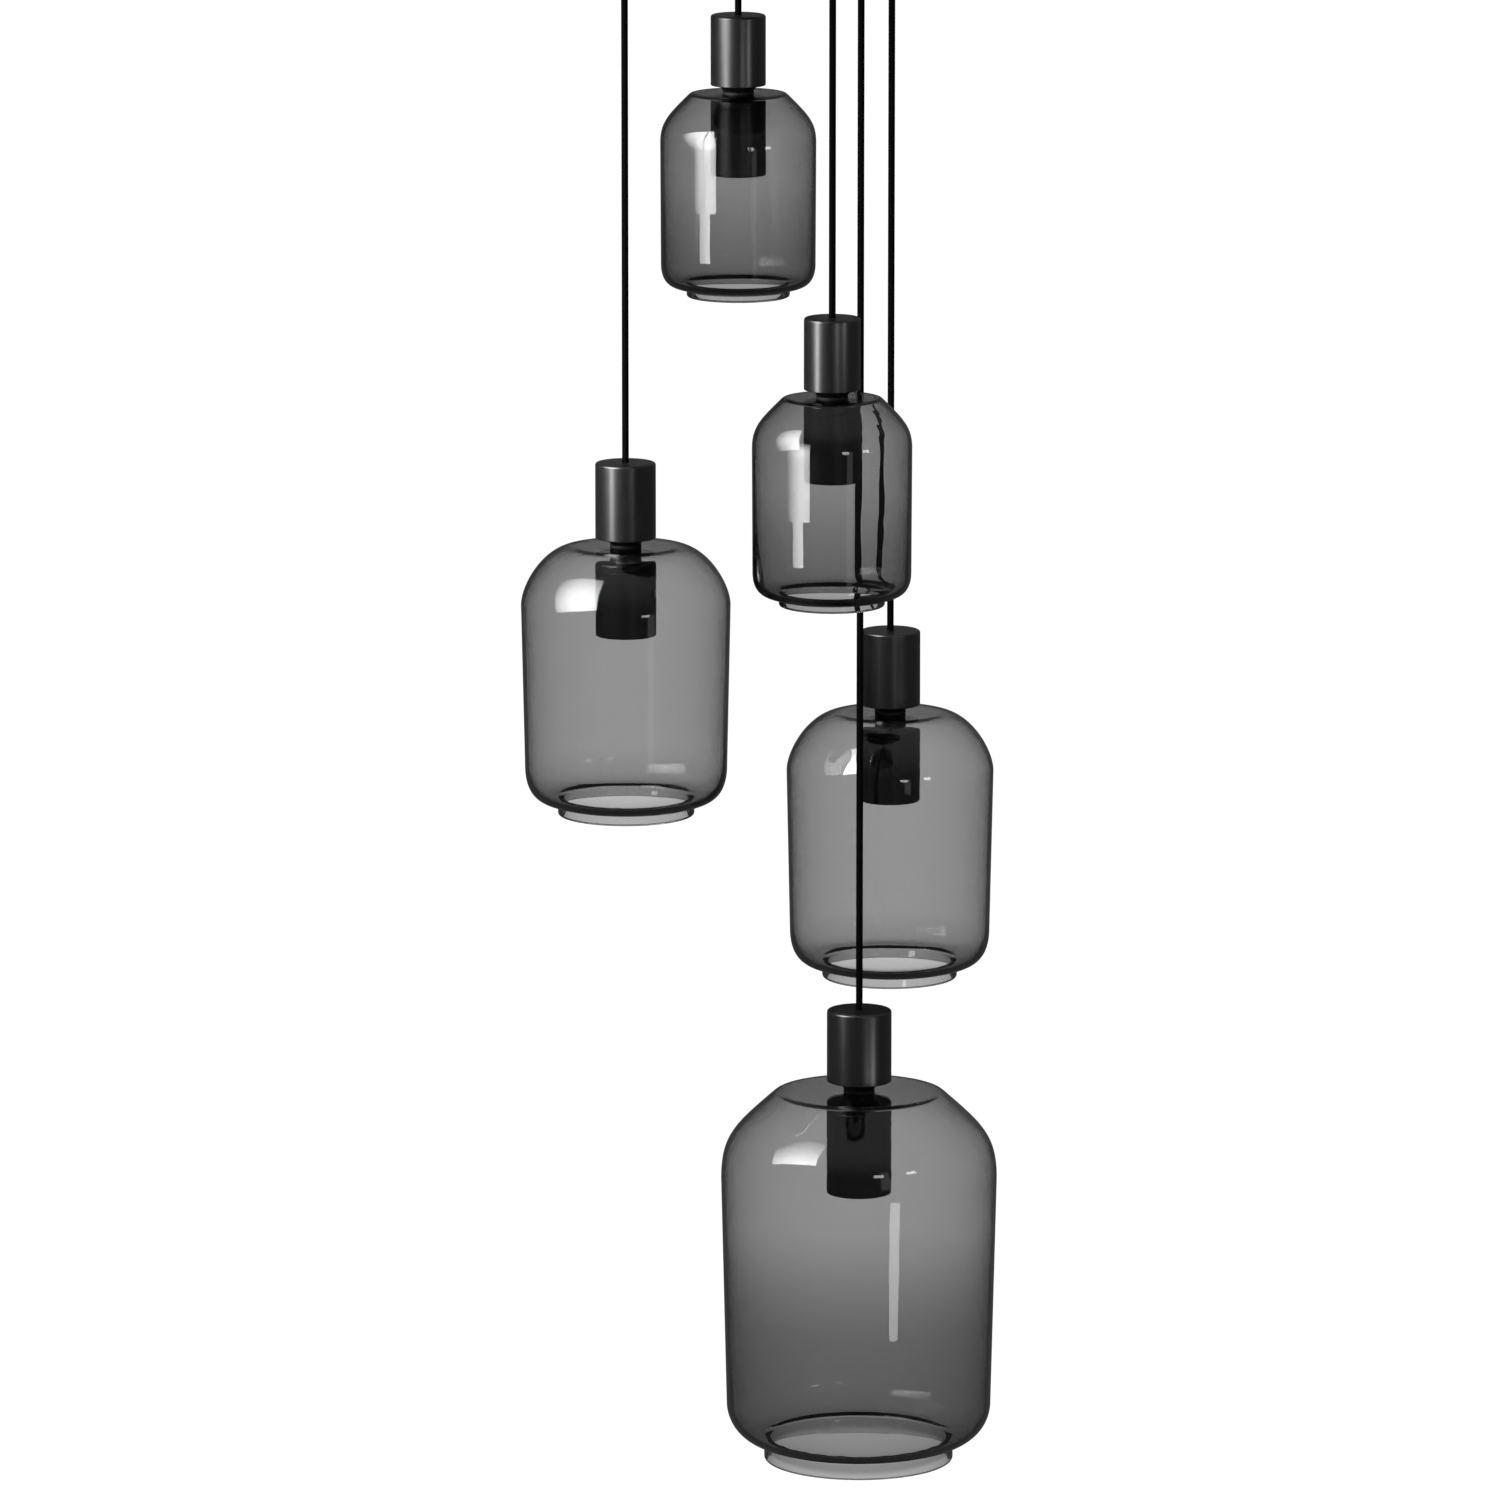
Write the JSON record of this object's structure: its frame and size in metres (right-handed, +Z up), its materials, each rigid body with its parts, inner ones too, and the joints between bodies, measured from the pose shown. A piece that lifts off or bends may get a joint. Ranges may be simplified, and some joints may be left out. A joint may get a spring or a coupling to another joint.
{
  "type": "cluster pendant chandelier",
  "caption": "Cluster pendant chandelier: smoked-glass shades on black cords at stepped heights, hung from a round ceiling canopy.",
  "frame": {"origin": "middle of the face that meets the ceiling", "axes": "+Z up into the ceiling; +X to the right and -Y towards the viewer of the picture"},
  "size_m": [0.4598, 0.4763, 1.54],
  "materials": {
    "black_canopy_metal": "matte black powder coat on steel sheet",
    "black_lamp_metal": "satin black paint on turned aluminium",
    "black_grip_metal": "satin black",
    "smoked_glass": "clear grey smoke tint, blown, fire-polished mouth",
    "black_cord": "tight black textile braid",
    "galvanised_steel": "zinc plated",
    "plated_steel": "nickel plated",
    "brass": "bright",
    "white_nylon": "natural nylon",
    "dark_phenolic": "moulded, semi-gloss",
    "black_silicone": "matte"
  },
  "bodies": {
    "ceiling_mount": {"canopy": "black_canopy_metal", "ceiling_bracket": "galvanised_steel", "canopy_screws": "black_canopy_metal", "canopy_cord_grips": "black_grip_metal", "grip_nuts": "plated_steel", "terminal_block": "white_nylon", "block_screws": "plated_steel", "inner_leads": "black_cord", "earth_screw": "brass"},
    "cord_swivel_1": {"cord_root_1": "black_cord"},
    "pendant_1": {"cord_1": "black_cord", "cord_clamp_1": "white_nylon", "top_cap_1": "black_lamp_metal", "clamp_ring_1": "plated_steel", "glass_gaskets_1": "black_silicone", "glass_shade_1": "smoked_glass", "socket_cup_1": "black_lamp_metal", "lampholder_1": "dark_phenolic", "lamp_contacts_1": "brass"},
    "cord_swivel_2": {"cord_root_2": "black_cord"},
    "pendant_2": {"cord_2": "black_cord", "cord_clamp_2": "white_nylon", "top_cap_2": "black_lamp_metal", "clamp_ring_2": "plated_steel", "glass_gaskets_2": "black_silicone", "glass_shade_2": "smoked_glass", "socket_cup_2": "black_lamp_metal", "lampholder_2": "dark_phenolic", "lamp_contacts_2": "brass"},
    "cord_swivel_3": {"cord_root_3": "black_cord"},
    "pendant_3": {"cord_3": "black_cord", "cord_clamp_3": "white_nylon", "top_cap_3": "black_lamp_metal", "clamp_ring_3": "plated_steel", "glass_gaskets_3": "black_silicone", "glass_shade_3": "smoked_glass", "socket_cup_3": "black_lamp_metal", "lampholder_3": "dark_phenolic", "lamp_contacts_3": "brass"},
    "cord_swivel_4": {"cord_root_4": "black_cord"},
    "pendant_4": {"cord_4": "black_cord", "cord_clamp_4": "white_nylon", "top_cap_4": "black_lamp_metal", "clamp_ring_4": "plated_steel", "glass_gaskets_4": "black_silicone", "glass_shade_4": "smoked_glass", "socket_cup_4": "black_lamp_metal", "lampholder_4": "dark_phenolic", "lamp_contacts_4": "brass"},
    "cord_swivel_5": {"cord_root_5": "black_cord"},
    "pendant_5": {"cord_5": "black_cord", "cord_clamp_5": "white_nylon", "top_cap_5": "black_lamp_metal", "clamp_ring_5": "plated_steel", "glass_gaskets_5": "black_silicone", "glass_shade_5": "smoked_glass", "socket_cup_5": "black_lamp_metal", "lampholder_5": "dark_phenolic", "lamp_contacts_5": "brass"}
  },
  "joints": [
    {"name": "swing_front_1", "type": "hinge", "parent": "ceiling_mount", "child": "cord_swivel_1", "pos_m": [-0.052, 0.151, -0.053], "axis": [1, 0, 0], "range_deg": [-9, 9]},
    {"name": "swing_side_1", "type": "hinge", "parent": "cord_swivel_1", "child": "pendant_1", "pos_m": [-0.052, 0.151, -0.053], "axis": [0, 1, 0], "range_deg": [-9, 9]},
    {"name": "swing_front_2", "type": "hinge", "parent": "ceiling_mount", "child": "cord_swivel_2", "pos_m": [0.036, -0.171, -0.053], "axis": [1, 0, 0], "range_deg": [-4.5, 4.5]},
    {"name": "swing_side_2", "type": "hinge", "parent": "cord_swivel_2", "child": "pendant_2", "pos_m": [0.036, -0.171, -0.053], "axis": [0, 1, 0], "range_deg": [-4.5, 4.5]},
    {"name": "swing_front_3", "type": "hinge", "parent": "ceiling_mount", "child": "cord_swivel_3", "pos_m": [-0.1595, 0.028, -0.053], "axis": [1, 0, 0], "range_deg": [-4.5, 4.5]},
    {"name": "swing_side_3", "type": "hinge", "parent": "cord_swivel_3", "child": "pendant_3", "pos_m": [-0.1595, 0.028, -0.053], "axis": [0, 1, 0], "range_deg": [-4.5, 4.5]},
    {"name": "swing_front_4", "type": "hinge", "parent": "ceiling_mount", "child": "cord_swivel_4", "pos_m": [0.095, 0.13, -0.053], "axis": [1, 0, 0], "range_deg": [-3, 3]},
    {"name": "swing_side_4", "type": "hinge", "parent": "cord_swivel_4", "child": "pendant_4", "pos_m": [0.095, 0.13, -0.053], "axis": [0, 1, 0], "range_deg": [-3, 3]},
    {"name": "swing_front_5", "type": "hinge", "parent": "ceiling_mount", "child": "cord_swivel_5", "pos_m": [0.064, -0.025, -0.053], "axis": [1, 0, 0], "range_deg": [-3, 3]},
    {"name": "swing_side_5", "type": "hinge", "parent": "cord_swivel_5", "child": "pendant_5", "pos_m": [0.064, -0.025, -0.053], "axis": [0, 1, 0], "range_deg": [-3, 3]}
  ]
}
